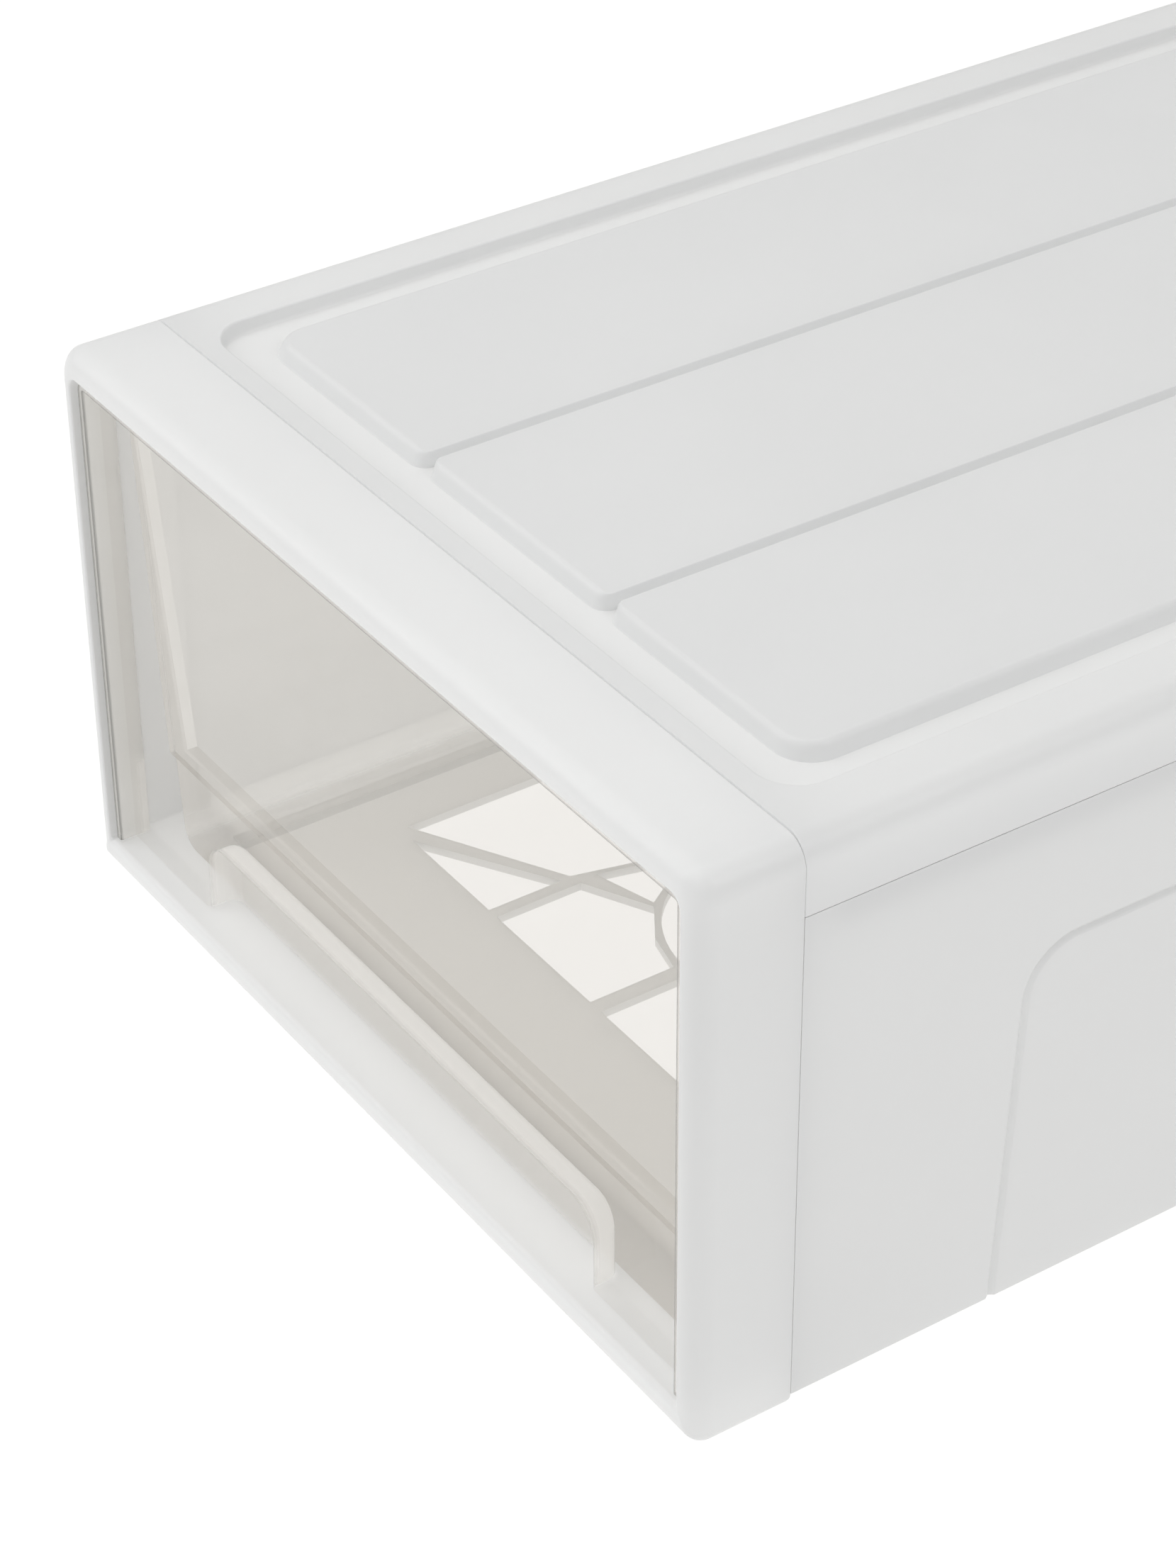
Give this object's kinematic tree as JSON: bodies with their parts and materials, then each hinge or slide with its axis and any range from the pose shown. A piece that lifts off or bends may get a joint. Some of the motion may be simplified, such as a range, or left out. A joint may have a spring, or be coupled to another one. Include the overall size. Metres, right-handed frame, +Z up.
{
  "type": "shoe storage box",
  "caption": "Stackable box with a rounded frame at the front, a clear pull-out drawer with a finger pull, planked top and arched side panels.",
  "frame": {"origin": "middle of the box's footprint, on the surface that it stands on", "axes": "+Z up, the drawer opens towards -Y, +X to the right when looking at the box's back from the front"},
  "size_m": [0.23, 0.34, 0.13],
  "materials": {
    "white_plastic": "satin moulded white plastic",
    "clear_plastic": "clear moulded plastic, smooth and slightly hazy"
  },
  "bodies": {
    "case": {"front_frame": "white_plastic", "rear_panel": "white_plastic", "top_cover": "white_plastic", "left_side_panel": "white_plastic", "right_side_panel": "white_plastic", "base_panel": "white_plastic"},
    "drawer": {"drawer_tray": "clear_plastic", "drawer_front": "clear_plastic"}
  },
  "joints": [
    {"name": "drawer_slide", "type": "slide", "parent": "case", "child": "drawer", "axis": [0, -1, 0], "range_m": [0, 0.27]}
  ]
}
